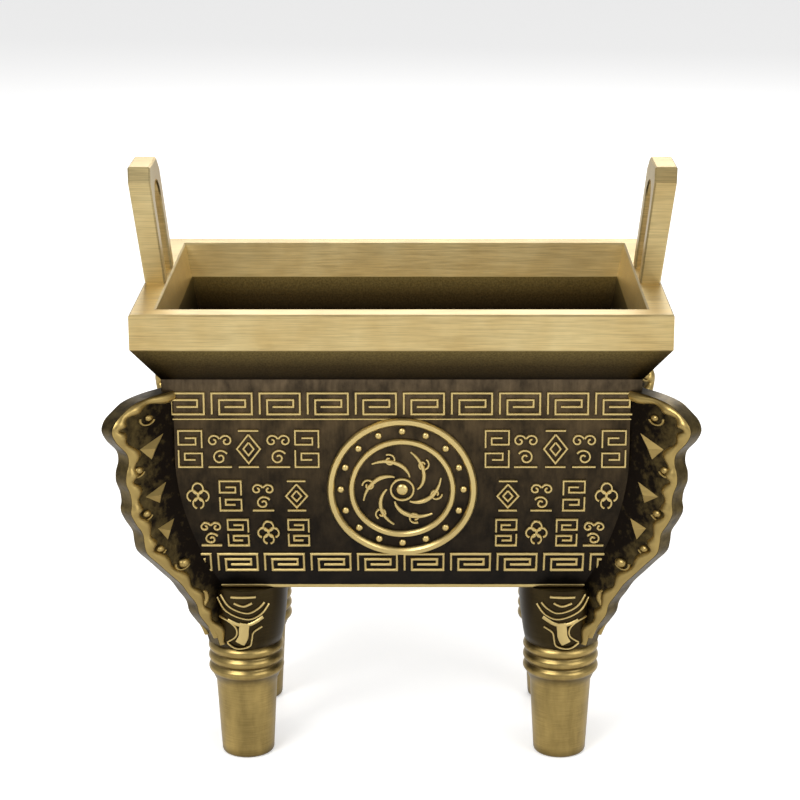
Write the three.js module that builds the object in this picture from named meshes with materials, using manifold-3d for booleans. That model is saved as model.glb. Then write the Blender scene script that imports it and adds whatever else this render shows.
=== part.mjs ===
// A rectangular ding: a cast brass cauldron with a flat rim, two loop ears, four curved
// walls, a floor, four openwork corner flanges and four round legs that are bolted on from inside.
// Millimetres, +Z up, X along the long side. The origin is on the ground under the middle of the cauldron.
import * as THREE from "three";
import { mergeVertices } from "three/addons/utils/BufferGeometryUtils.js";
import Module from "manifold-3d";

const wasm = await Module();
wasm.setup();

// Rim
const RIM_LENGTH = 260;
const RIM_WIDTH = 171.3;
const RIM_TOP = 245.5; // height of the rim's top face above the ground
const RIM_BAND = 17.3; // upright outer face
const RIM_FACE = 11.8; // width of the flat top
const RIM_CHAMFER = 0.8;
const BEVEL_DROP = 18.2; // height of the sloping underside

// Belly: the walls are upright down to CURVE_START and then draw in to the base
const NECK_INSET = 13.2; // from the rim's outer face to the neck
const BASE_INSET = 33.8; // from the rim's outer face to the base
const BELLY_DEPTH = 150.5; // rim top to underside
const CURVE_START = 76;
const CURVE_POWER = 1.8;
const CURVE_STEPS = 7;
const WALL = 5.5;
const FLOOR = 6;

// Medallion on each wall
const MEDALLION_DROP = 91.8; // rim top to the centre
const OUTER_RING = 37.1;
const OUTER_RING_WIDTH = 4;
const INNER_RING = 26.6;
const INNER_RING_WIDTH = 3.4;
const RELIEF = 1.2;
const BEADS = 16;
const BEAD_CIRCLE = 30.4;
const BEAD = 1.9;
const RING_SIDES = 18;

// Corner flanges
const FLANGE_WEB = 8;
const FLANGE_EDGE = 10.6; // thickness of the raised border
const FLANGE_BORDER = 3.4; // width of that border
const PYRAMID_HEIGHT = 2.6; // above the web
const PYRAMID_WIDTH = 13;
const PYRAMID_TALL = 18;

// Legs
const LEG_IN = 35.6; // from the neck's corner to the leg's axis, along X and along Y
const LEG_TOP = 22; // radii
const LEG_WAIST = 19.3;
const LEG_SHAFT = 15.9;
const LEG_FOOT = 13.5;
const FOOT_ROUND = 1.6;
const RING_BAND = 17.4; // height of the three ring mouldings together
const RINGS = 3;
const RING_BULGE = 1.5;
const RING_BAND_TOP = 62.1; // above the ground
const LEG_SIDES = 24;

// Ears
const EAR_SPAN = 42; // along Y
const EAR_HEIGHT = 58;
const EAR_THICK = 10.3;
const EAR_SWELL = 1; // extra thickness at the top
const EAR_LEAN = 6.8; // outward over the whole height
const EAR_CHAMFER = 6.8; // at the two top corners
const EAR_BAR = 9.5; // width of the loop's bar
const EAR_EDGE = 0.8;

// Bolts, washers and screws
const CLEARANCE = 0.3;
const BOLT = 4; // radii
const BOLT_HEAD = 7.5;
const BOLT_HEAD_TALL = 5.5;
const BOLT_REACH = 20; // into the leg
const WASHER = 8;
const WASHER_THICK = 1.6;
const SCREW = 2;
const SCREW_HEAD = 3.6;
const SCREW_HEAD_TALL = 3.2;
const SCREW_REACH = 8; // into the ear
const SCREW_SEAT = 12; // rim left above the screw's head
const BORE_SPARE = 3; // depth left past a bolt's or a screw's tip
const ROUND_SIDES = 24;

const BEVEL_END = RIM_BAND + BEVEL_DROP;
const BELLY_BOTTOM = RIM_TOP - BELLY_DEPTH;
const NECK_X = RIM_LENGTH / 2 - NECK_INSET;
const NECK_Y = RIM_WIDTH / 2 - NECK_INSET;
const LEG_X = NECK_X - LEG_IN;
const LEG_Y = NECK_Y - LEG_IN;
const FAR = RIM_LENGTH + RIM_WIDTH;

// Solids
function solid(geometry) {
  const bare = geometry.clone();
  bare.deleteAttribute("normal");
  bare.deleteAttribute("uv");
  const merged = mergeVertices(bare, 1e-4);
  const corners = merged.index.array;
  const faces = [];
  for (let i = 0; i < corners.length; i += 3) {
    const [a, b, c] = corners.slice(i, i + 3);
    if (a !== b && b !== c && c !== a) faces.push(a, b, c);
  }
  const vertProperties = new Float32Array(merged.attributes.position.array);
  return new wasm.Manifold(new wasm.Mesh({ numProp: 3, vertProperties, triVerts: new Uint32Array(faces) }));
}

function geometryOf(body) {
  const mesh = body.getMesh();
  const geometry = new THREE.BufferGeometry();
  geometry.setAttribute("position", new THREE.BufferAttribute(mesh.vertProperties, 3));
  geometry.setIndex(new THREE.BufferAttribute(mesh.triVerts, 1));
  geometry.computeVertexNormals();
  return geometry;
}

// A stack of rectangles, each [inset, z], from the bottom up. It is a ring if closed, else it gets end faces.
function stack(levels, closed) {
  const points = [];
  const faces = [];
  for (const [inset, z] of levels) {
    const x = RIM_LENGTH / 2 - inset;
    const y = RIM_WIDTH / 2 - inset;
    points.push(x, y, z, -x, y, z, -x, -y, z, x, -y, z);
  }
  const rows = closed ? levels.length : levels.length - 1;
  for (let row = 0; row < rows; row++) {
    const next = (row + 1) % levels.length;
    for (let side = 0; side < 4; side++) {
      const a = row * 4 + side;
      const b = row * 4 + ((side + 1) % 4);
      const c = next * 4 + ((side + 1) % 4);
      const d = next * 4 + side;
      faces.push(a, b, c, a, c, d);
    }
  }
  if (!closed) {
    const top = (levels.length - 1) * 4;
    faces.push(0, 2, 1, 0, 3, 2, top, top + 1, top + 2, top, top + 2, top + 3);
  }
  const geometry = new THREE.BufferGeometry();
  geometry.setAttribute("position", new THREE.Float32BufferAttribute(points, 3));
  geometry.setIndex(faces);
  return solid(geometry);
}

// A body turned about Z from a profile of [radius, z] that runs from the axis back to the axis
function turned(profile, sides) {
  const points = profile.map(([radius, z]) => new THREE.Vector2(radius, z));
  return new THREE.LatheGeometry(points, sides).rotateX(Math.PI / 2);
}

function cylinder(radius, low, high, x, y, sides = ROUND_SIDES) {
  const profile = [[0, low], [radius, low], [radius, high], [0, high]];
  return solid(turned(profile, sides).translate(x, y, 0));
}

// A flat outline in X and Y, raised along Z
function prism(outline, low, high) {
  const shape = new THREE.Shape(outline.map(([x, y]) => new THREE.Vector2(x, y)));
  const geometry = new THREE.ExtrudeGeometry(shape, { depth: high - low, bevelEnabled: false });
  return solid(geometry.translate(0, 0, low));
}

// How far the belly's outer face lies inside the rim's outer face, at a depth below the rim's top
function bellyInset(drop) {
  const along = Math.max(0, (drop - CURVE_START) / (BELLY_DEPTH - CURVE_START));
  return NECK_INSET + (BASE_INSET - NECK_INSET) * along ** CURVE_POWER;
}

// The depths at which the belly's outline bends, from the bottom up
function bellyDrops() {
  const drops = [];
  for (let step = CURVE_STEPS; step >= 0; step--) {
    drops.push(CURVE_START + ((BELLY_DEPTH - CURVE_START) * step) / CURVE_STEPS);
  }
  return [...drops, BEVEL_END];
}

// The belly as a full block, grown outward by some distance
function bellyBlock(grow) {
  return stack(bellyDrops().map((drop) => [bellyInset(drop) - grow, RIM_TOP - drop]), false);
}

const FLOOR_INSET = bellyInset(BELLY_DEPTH - FLOOR) + WALL;

// The hollow between the walls, open at both ends
function bellyHollow() {
  const levels = bellyDrops()
    .filter((drop) => drop < BELLY_DEPTH - FLOOR)
    .map((drop) => [bellyInset(drop) + WALL, RIM_TOP - drop]);
  levels.unshift([FLOOR_INSET, BELLY_BOTTOM - FLOOR], [FLOOR_INSET, BELLY_BOTTOM + FLOOR]);
  levels.push([NECK_INSET + WALL, RIM_TOP]);
  return stack(levels, false);
}

const hollow = bellyHollow();
const shell = bellyBlock(0).subtract(hollow);
const raisedShell = bellyBlock(RELIEF).subtract(hollow);
const clearOfBelly = bellyBlock(CLEARANCE);

// The upright faces where two walls meet run along the diagonals through the corners
function wallWedge(side) {
  const apex = (RIM_LENGTH - RIM_WIDTH) / 2;
  const back = CLEARANCE / Math.SQRT2;
  const wide = [[apex - back, 0], [-apex + back, 0], [-apex + back - FAR, -FAR], [apex - back + FAR, -FAR]];
  const narrow = [[0, -apex - back], [-FAR, -apex - back - FAR], [FAR, -apex - back - FAR]];
  const outline = side % 2 ? narrow : wide;
  return prism(outline, BELLY_BOTTOM, RIM_TOP);
}

function annulus(radius, width) {
  const shape = new THREE.Shape();
  shape.absarc(0, 0, radius, 0, 2 * Math.PI);
  const hole = new THREE.Path();
  hole.absarc(0, 0, radius - width, 0, 2 * Math.PI);
  shape.holes.push(hole);
  const settings = { depth: FAR, bevelEnabled: false, curveSegments: RING_SIDES };
  const geometry = new THREE.ExtrudeGeometry(shape, settings);
  return geometry.rotateX(Math.PI / 2).translate(0, 0, RIM_TOP - MEDALLION_DROP);
}

// Side 0 is the front, then counter-clockwise seen from above. It is modelled facing -Y and turned.
function wallPanel(side) {
  const turn = side * 90;
  const reach = side % 2 ? RIM_LENGTH / 2 : RIM_WIDTH / 2;
  const place = (body) => body.rotate([0, 0, turn]);
  let panel = shell.intersect(place(wallWedge(side)));
  for (const [radius, width] of [[OUTER_RING, OUTER_RING_WIDTH], [INNER_RING, INNER_RING_WIDTH]]) {
    panel = panel.add(raisedShell.intersect(place(solid(annulus(radius, width)))));
  }
  for (let i = 0; i < BEADS; i++) {
    const angle = (2 * Math.PI * i) / BEADS;
    const drop = MEDALLION_DROP - BEAD_CIRCLE * Math.cos(angle);
    const ball = new THREE.SphereGeometry(BEAD, 6, 4);
    ball.translate(BEAD_CIRCLE * Math.sin(angle), -(reach - bellyInset(drop)), RIM_TOP - drop);
    panel = panel.add(place(solid(ball)));
  }
  return panel;
}

function rimFrame() {
  const section = [
    [NECK_INSET, RIM_TOP - BEVEL_END],
    [0, RIM_TOP - RIM_BAND],
    [0, RIM_TOP - RIM_CHAMFER],
    [RIM_CHAMFER, RIM_TOP],
    [RIM_FACE - RIM_CHAMFER, RIM_TOP],
    [RIM_FACE, RIM_TOP - RIM_CHAMFER],
    [NECK_INSET + WALL, RIM_TOP - BEVEL_END],
  ];
  let frame = stack(section, true);
  for (const [x, y] of screwPlaces()) {
    frame = frame.subtract(cylinder(SCREW + CLEARANCE, 0, RIM_TOP + FLOOR, x, y));
    frame = frame.subtract(cylinder(SCREW_HEAD + CLEARANCE, RIM_TOP - FAR, RIM_TOP - SCREW_SEAT, x, y));
  }
  return frame;
}

function floorPlate() {
  const x = RIM_LENGTH / 2 - FLOOR_INSET;
  const y = RIM_WIDTH / 2 - FLOOR_INSET;
  let plate = prism([[x, y], [-x, y], [-x, -y], [x, -y]], BELLY_BOTTOM, BELLY_BOTTOM + FLOOR);
  for (const [signX, signY] of CORNERS) {
    plate = plate.subtract(cylinder(BOLT + CLEARANCE, 0, RIM_TOP, signX * LEG_X, signY * LEG_Y));
  }
  return plate;
}

// The flange's outer edge: how far it stands out from the neck's corner along X and along Y, and its depth
// below the rim's top. It has a hooked head, a notched stem and a tail that runs down onto the leg.
const FLANGE_EDGE_POINTS = [
  [-1.5, 41], [13.8, 43], [19, 46.5], [22.6, 50.4], [24, 55], [22, 60.7], [18.1, 66.8], [17.6, 72],
  [18.6, 80], [16.8, 92.7], [17, 97.8], [15.1, 103.6], [12.2, 110.5], [11, 120.7], [5.8, 127.7],
  [-4, 142], [-10.5, 155], [-11.7, 161], [-15, 167.7], [-19, 175], [-20.2, 181],
];
const FLANGE_INSIDE = [[-30, 181], [-30, 150], [-6, 76], [-6, 41]];
const PYRAMID_PLACES = [[8.2, 60], [7.2, 82], [4.2, 101]];

function flangeOutline(shift) {
  const along = ([out, drop]) => new THREE.Vector2((out - shift) * Math.SQRT2, RIM_TOP - drop - shift);
  const shape = new THREE.Shape();
  const first = along(FLANGE_EDGE_POINTS[0]);
  shape.moveTo(first.x, first.y);
  shape.splineThru(FLANGE_EDGE_POINTS.slice(1).map(along));
  for (const point of FLANGE_INSIDE) {
    const corner = along(point);
    shape.lineTo(corner.x, corner.y);
  }
  return shape;
}

// The shape stands upright in X and Z, with its middle plane at y = 0
function upright(shape, thick, curveSegments) {
  const geometry = new THREE.ExtrudeGeometry(shape, { depth: thick, bevelEnabled: false, curveSegments });
  return solid(geometry.translate(0, 0, -thick / 2).rotateX(Math.PI / 2));
}

// A three-sided pyramid that points down, on both faces of the web
function pyramids(out, drop) {
  const half = PYRAMID_WIDTH / 2;
  const high = FLANGE_WEB / 2 + PYRAMID_HEIGHT;
  const corners = [[-half, PYRAMID_TALL * 0.35], [half, PYRAMID_TALL * 0.35], [0, -PYRAMID_TALL * 0.65]];
  const points = [0, high, 0, 0, -high, 0, ...corners.flatMap(([x, z]) => [x, 0, z])];
  const geometry = new THREE.BufferGeometry();
  geometry.setAttribute("position", new THREE.Float32BufferAttribute(points, 3));
  geometry.setIndex([0, 2, 3, 0, 3, 4, 0, 4, 2, 1, 3, 2, 1, 4, 3, 1, 2, 4]);
  return solid(geometry.translate(out * Math.SQRT2, 0, RIM_TOP - drop));
}

function flange([signX, signY]) {
  const step = 2;
  const outline = upright(flangeOutline(0), FLANGE_EDGE, step);
  const inside = upright(flangeOutline(FLANGE_BORDER / Math.SQRT2), FLANGE_EDGE * 2, step);
  let plate = outline.subtract(inside).add(upright(flangeOutline(0), FLANGE_WEB, step));
  for (const [out, drop] of PYRAMID_PLACES) plate = plate.add(pyramids(out, drop));
  const angle = THREE.MathUtils.radToDeg(Math.atan2(signY, signX));
  plate = plate.rotate([0, 0, angle]).translate([signX * NECK_X, signY * NECK_Y, 0]);
  const leg = solid(turned(legOutline(CLEARANCE), LEG_SIDES).translate(signX * LEG_X, signY * LEG_Y, 0));
  const under = prism([[-FAR, -FAR], [FAR, -FAR], [FAR, FAR], [-FAR, FAR]], BELLY_BOTTOM - CLEARANCE, RIM_TOP);
  const footprint = RIM_LENGTH / 2 - BASE_INSET + CLEARANCE;
  const foot = RIM_WIDTH / 2 - BASE_INSET + CLEARANCE;
  const base = prism(
    [[footprint, foot], [-footprint, foot], [-footprint, -foot], [footprint, -foot]],
    BELLY_BOTTOM - CLEARANCE,
    BELLY_BOTTOM + CLEARANCE,
  );
  plate = plate.subtract(clearOfBelly).subtract(base).subtract(leg);
  const bodies = plate.decompose();
  bodies.sort((a, b) => b.volume() - a.volume());
  return bodies[0].subtract(under.intersect(clearOfBelly));
}

// The leg's outer line from the ground up, as [radius, z]
function legOutline(grow) {
  const bandBottom = RING_BAND_TOP - RING_BAND;
  const line = [[0, -grow]];
  for (const turn of [0, 1, 2]) {
    const angle = (Math.PI / 4) * turn;
    const radius = LEG_FOOT - FOOT_ROUND + FOOT_ROUND * Math.sin(angle);
    line.push([radius + grow, FOOT_ROUND - (FOOT_ROUND + grow) * Math.cos(angle)]);
  }
  line.push([(LEG_FOOT + LEG_SHAFT) / 2 + grow, bandBottom / 2]);
  line.push([LEG_SHAFT + grow, bandBottom - 1]);
  for (let ring = 0; ring < RINGS; ring++) {
    for (const share of [0.08, 0.3, 0.7, 0.92]) {
      const bulge = RING_BULGE * Math.sin(Math.PI * share);
      const z = bandBottom + (RING_BAND * (ring + share)) / RINGS;
      line.push([LEG_WAIST - RING_BULGE + bulge + grow, z]);
    }
  }
  line.push([LEG_WAIST - RING_BULGE / 2 + grow, RING_BAND_TOP + 0.5]);
  line.push([(LEG_WAIST + LEG_TOP) / 2 + 0.6 + grow, (RING_BAND_TOP + BELLY_BOTTOM) / 2]);
  line.push([LEG_TOP + grow, BELLY_BOTTOM]);
  if (grow) line.push([0, BELLY_BOTTOM]);
  return line;
}

function leg() {
  const bore = BOLT + CLEARANCE;
  const deep = BELLY_BOTTOM - BOLT_REACH - BORE_SPARE;
  return turned([...legOutline(0), [bore, BELLY_BOTTOM], [bore, deep], [0, deep]], LEG_SIDES);
}

// Seated on z = 0 by its head
function legBolt() {
  const shank = cylinder(BOLT, -WASHER_THICK - FLOOR - BOLT_REACH, BOLT_HEAD_TALL / 2, 0, 0);
  return geometryOf(shank.add(cylinder(BOLT_HEAD, 0, BOLT_HEAD_TALL, 0, 0, 6)));
}

function legWasher() {
  const bore = BOLT + CLEARANCE;
  const profile = [[bore, 0], [WASHER, 0], [WASHER, WASHER_THICK], [bore, WASHER_THICK], [bore, 0]];
  return turned(profile, ROUND_SIDES);
}

// An upright loop on two feet. It stands on z = 0 with its inner face at x = 0 and leans to +X.
function ear() {
  const half = EAR_SPAN / 2;
  const gap = half - EAR_BAR;
  const shape = new THREE.Shape();
  shape.moveTo(half, 0);
  shape.lineTo(half, EAR_HEIGHT - EAR_CHAMFER);
  shape.lineTo(half - EAR_CHAMFER, EAR_HEIGHT);
  shape.lineTo(-half + EAR_CHAMFER, EAR_HEIGHT);
  shape.lineTo(-half, EAR_HEIGHT - EAR_CHAMFER);
  shape.lineTo(-half, 0);
  shape.lineTo(-gap, 0);
  shape.lineTo(-gap, EAR_HEIGHT - EAR_BAR - gap);
  shape.absarc(0, EAR_HEIGHT - EAR_BAR - gap, gap, Math.PI, 0, true);
  shape.lineTo(gap, 0);
  const geometry = new THREE.ExtrudeGeometry(shape, {
    depth: EAR_THICK - 2 * EAR_EDGE,
    bevelSize: EAR_EDGE,
    bevelThickness: EAR_EDGE,
    bevelOffset: -EAR_EDGE,
    bevelSegments: 1,
    curveSegments: 12,
  });
  geometry.translate(0, 0, EAR_EDGE).rotateX(Math.PI / 2).rotateZ(Math.PI / 2);
  const places = geometry.attributes.position;
  for (let i = 0; i < places.count; i++) {
    const up = places.getZ(i) / EAR_HEIGHT;
    places.setX(i, places.getX(i) * (1 + (EAR_SWELL / EAR_THICK) * up) + EAR_LEAN * up);
  }
  let loop = solid(geometry);
  for (const side of [-1, 1]) {
    const y = side * (half - EAR_BAR / 2);
    loop = loop.subtract(cylinder(SCREW + CLEARANCE, -FLOOR, SCREW_REACH + BORE_SPARE, SCREW_IN, y));
  }
  return geometryOf(loop);
}

// Seated with its head's top at z = 0, and its shank upward
function earScrew() {
  const shank = cylinder(SCREW, -SCREW_HEAD_TALL / 2, SCREW_SEAT + SCREW_REACH, 0, 0);
  return geometryOf(shank.add(cylinder(SCREW_HEAD, -SCREW_HEAD_TALL, 0, 0, 0)));
}

const CORNERS = [[-1, -1], [1, -1], [1, 1], [-1, 1]];
const EAR_INNER_X = RIM_LENGTH / 2 - (RIM_FACE + EAR_THICK) / 2; // the ear is centred on the rim's flat top
const SCREW_IN = EAR_THICK / 2; // from the ear's inner face

function screwPlaces() {
  const y = (EAR_SPAN - EAR_BAR) / 2;
  return CORNERS.map(([signX, signY]) => [signX * (EAR_INNER_X + SCREW_IN), signY * y]);
}

// Assembly
const ding = new THREE.Group();

function addPiece(name, geometry, look, place = [0, 0, 0], turn = 0) {
  const mesh = new THREE.Mesh(geometry, new THREE.MeshStandardMaterial(look));
  mesh.name = name;
  mesh.position.set(...place);
  mesh.rotation.z = turn;
  ding.add(mesh);
}

const PALE_BRASS = { color: 0xd9c79a, roughness: 0.38, metalness: 1 };
const AGED_BRASS = { color: 0x6b5b3c, roughness: 0.55, metalness: 0.9 };
const DARK_BRASS = { color: 0x3c3426, roughness: 0.6, metalness: 0.8 };
const LEG_BRASS = { color: 0xa08a55, roughness: 0.42, metalness: 1 };
const STEEL = { color: 0x8d8a84, roughness: 0.35, metalness: 1 };

addPiece("rim_frame", geometryOf(rimFrame()), PALE_BRASS);
["front_panel", "right_panel", "rear_panel", "left_panel"].forEach((name, side) => {
  addPiece(name, geometryOf(wallPanel(side)), AGED_BRASS);
});
addPiece("floor_plate", geometryOf(floorPlate()), DARK_BRASS);
for (const [signX, signY] of CORNERS) {
  const corner = `${signY < 0 ? "front" : "rear"}_${signX < 0 ? "left" : "right"}`;
  const x = signX * LEG_X;
  const y = signY * LEG_Y;
  const floorTop = BELLY_BOTTOM + FLOOR;
  addPiece(`flange_${corner}`, geometryOf(flange([signX, signY])), DARK_BRASS);
  addPiece(`leg_${corner}`, leg(), LEG_BRASS, [x, y, 0]);
  addPiece(`leg_washer_${corner}`, legWasher(), STEEL, [x, y, floorTop]);
  addPiece(`leg_bolt_${corner}`, legBolt(), STEEL, [x, y, floorTop + WASHER_THICK]);
}
addPiece("ear_right", ear(), PALE_BRASS, [EAR_INNER_X, 0, RIM_TOP]);
addPiece("ear_left", ear(), PALE_BRASS, [-EAR_INNER_X, 0, RIM_TOP], Math.PI);
for (const [x, y] of screwPlaces()) {
  const name = `ear_screw_${x < 0 ? "left" : "right"}_${y < 0 ? "front" : "rear"}`;
  addPiece(name, earScrew(), STEEL, [x, y, RIM_TOP - SCREW_SEAT]);
}

export default ding;
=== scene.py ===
# Dresses the rectangular ding: cast walls with raised frets and medallions, beaded corner
# flanges, turned legs and brushed rim and ears. Metres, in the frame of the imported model.
import math

import bmesh
import bpy
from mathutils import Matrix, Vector


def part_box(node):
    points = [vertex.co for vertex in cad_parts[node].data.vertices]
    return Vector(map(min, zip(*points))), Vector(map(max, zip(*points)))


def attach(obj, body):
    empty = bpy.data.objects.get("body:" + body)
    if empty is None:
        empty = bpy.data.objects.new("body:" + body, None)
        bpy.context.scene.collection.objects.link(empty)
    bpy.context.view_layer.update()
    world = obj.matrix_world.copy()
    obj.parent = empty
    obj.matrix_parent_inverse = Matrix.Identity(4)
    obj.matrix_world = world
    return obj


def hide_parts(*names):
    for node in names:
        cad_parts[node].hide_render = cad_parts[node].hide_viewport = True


bl_info = {
    "name": "Ding cauldron looks",
    "version": (1, 0, 0),
    "blender": (4, 5, 0),
    "location": "View3D > Sidebar > Ding",
    "description": "Relief, flanges, legs, finishes and studio for a four-legged cauldron",
    "category": "Object",
}

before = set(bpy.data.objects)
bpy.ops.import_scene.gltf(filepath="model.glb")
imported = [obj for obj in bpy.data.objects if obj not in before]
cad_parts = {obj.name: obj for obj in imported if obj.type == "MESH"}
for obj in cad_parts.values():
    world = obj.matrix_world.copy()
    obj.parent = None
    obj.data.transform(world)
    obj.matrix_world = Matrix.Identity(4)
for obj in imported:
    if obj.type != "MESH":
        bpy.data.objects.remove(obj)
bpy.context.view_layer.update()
MM = 0.001
HAIR = 0.15 * MM  # half the seam between two walls
CURVE_POWER = 1.8  # how suddenly the walls draw in
RIM_BAND = 17.6  # millimetres from the rim's top to where its sloping underside is dark
BAND_EDGE = 0.4  # millimetres over which it turns dark
CORNERS = {"front_left": (-1, -1), "front_right": (1, -1), "rear_right": (1, 1), "rear_left": (-1, 1)}
WALLS = ["front", "right", "rear", "left"]  # counter-clockwise seen from above, each a quarter turn on
RIM_LOW, RIM_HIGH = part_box("rim_frame")
RIM_TOP = RIM_HIGH[2]
HALF = (RIM_HIGH[0], RIM_HIGH[1])  # half the rim's length and half its width
BELLY_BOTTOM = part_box("front_panel")[0][2]
BELLY_DEPTH = RIM_TOP - BELLY_BOTTOM
BEVEL_END = RIM_TOP - RIM_LOW[2]  # from the rim's top to where its sloping underside meets the neck
LEG_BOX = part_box("leg_front_right")
LEG_X = (LEG_BOX[0][0] + LEG_BOX[1][0]) / 2
LEG_Y = -(LEG_BOX[0][1] + LEG_BOX[1][1]) / 2


def length(name, words, size):
    return bpy.props.FloatProperty(name=name, description=words, default=size * MM, unit="LENGTH")


def srgb(shade):
    """A hex colour as linear red, green, blue and alpha."""
    channels = [int(shade[i : i + 2], 16) / 255 for i in (1, 3, 5)]
    linear = [c / 12.92 if c <= 0.04045 else ((c + 0.055) / 1.055) ** 2.4 for c in channels]
    return (*linear, 1.0)


def colour(name, words, shade):
    return bpy.props.FloatVectorProperty(
        name=name, description=words, default=srgb(shade)[:3], size=3, subtype="COLOR", min=0, max=1
    )


class DingSizes(bpy.types.PropertyGroup):
    neck_inset: length("Neck inset", "Rim's outer face to the neck", 13.2)
    base_inset: length("Base inset", "Rim's outer face to the base", 33.8)
    curve_start: length("Curve start", "Depth at which the walls begin to draw in", 76)
    wall: length("Wall", "Thickness of the walls", 5.5)
    floor: length("Floor", "Thickness of the floor", 6)
    relief: length("Relief", "Height of frets and ornaments", 1.1)
    fret_pitch: length("Fret pitch", "Length of one key of the fret", 23.3)
    fret_line: length("Fret line", "Width of the fret's line", 1.5)
    upper_fret_top: length("Upper fret", "Rim's top to the upper fret", 42.3)
    upper_fret_low: length("Upper fret's foot", "Rim's top to the upper fret's lower line", 52.9)
    lower_fret_top: length("Lower fret", "Rim's top to the lower fret", 129)
    lower_fret_low: length("Lower fret's foot", "Rim's top to the lower fret's lower line", 138.8)
    medallion_drop: length("Medallion", "Rim's top to the medallion's centre", 91.8)
    outer_ring: length("Outer ring", "Middle radius of the outer ring", 35.1)
    inner_ring: length("Inner ring", "Middle radius of the inner ring", 24.9)
    bead_circle: length("Bead circle", "Radius on which the beads lie", 30.2)
    bead: length("Bead", "Radius of one bead", 1.9)
    web: length("Flange web", "Thickness of a flange between its beads", 8)
    flange_bead: length("Flange bead", "Radius of the flange's edge bead", 2.3)


class DingColours(bpy.types.PropertyGroup):
    pale: colour("Pale brass", "Brushed rim and ears", "#d9c48e")
    rubbed: colour("Rubbed brass", "Crests of the relief", "#cdb67a")
    antique: colour("Antique brass", "Legs and flange beads", "#a68f58")
    patina: colour("Patina", "Ground between the ornaments", "#3b3020")
    shade: colour("Deep patina", "Deepest parts of the ground", "#17120e")
    cavity: colour("Cavity", "Inside of the vessel", "#2b1a15")


def sizes():
    return bpy.context.scene.ding_sizes


def colours():
    return bpy.context.scene.ding_colours


def rgba(value):
    """A colour with full alpha."""
    return (*value, 1.0)


# Node trees


RAMP = "ShaderNodeValToRGB"
RANGE = "ShaderNodeMapRange"
MIX_SHADER = "ShaderNodeMixShader"
# A Mix node's sockets for colours: its factor, both colours, and its result
MIX = "ShaderNodeMix"
FACTOR, FIRST, SECOND, MIXED = 0, 6, 7, 2
MULTIPLY = {"data_type": "RGBA", "blend_type": "MULTIPLY"}


def add_node(tree, kind, inputs=None, stops=(), **settings):
    """Adds a node. An input is a value, or a socket to link from. stops are a ramp's places and colours."""
    node = tree.nodes.new(kind)
    for _ in stops[2:]:
        node.color_ramp.elements.new(0.5)
    for i, (place, value) in enumerate(stops):
        node.color_ramp.elements[i].position = place
        node.color_ramp.elements[i].color = value
    for name, value in settings.items():
        setattr(node, name, value)
    for name, value in (inputs or {}).items():
        if isinstance(value, bpy.types.NodeSocket):
            tree.links.new(value, node.inputs[name])
        else:
            node.inputs[name].default_value = value
    return node


def grey(value):
    return (value, value, value, 1.0)


def new_material(name):
    material = bpy.data.materials.new(name)
    material.use_nodes = True
    material.node_tree.nodes.clear()
    return material, material.node_tree


def finish_metal(tree, colour_socket, roughness, height, depth_mm, metallic=1.0):
    """The shader of a metal, with a bump of a real depth."""
    bump = add_node(tree, "ShaderNodeBump", {"Height": height, "Distance": depth_mm * MM, "Strength": 1.0})
    inputs = {"Base Color": colour_socket, "Roughness": roughness, "Metallic": metallic}
    inputs["Normal"] = bump.outputs["Normal"]
    shader = add_node(tree, "ShaderNodeBsdfPrincipled", inputs)
    add_node(tree, "ShaderNodeOutputMaterial", {"Surface": shader.outputs["BSDF"]})


def grain(tree, stretch, line_mm, detail=3.0):
    """Noise in real size: one grain is line_mm wide, and is drawn out by stretch along X, Y and Z."""
    place = add_node(tree, "ShaderNodeTexCoord").outputs["Object"]
    scaled = add_node(tree, "ShaderNodeVectorMath", {0: place, 1: stretch}, operation="MULTIPLY")
    return add_node(
        tree,
        "ShaderNodeTexNoise",
        {"Vector": scaled.outputs[0], "Scale": 1 / (line_mm * MM), "Detail": detail, "Roughness": 0.6},
    ).outputs["Fac"]


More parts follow.
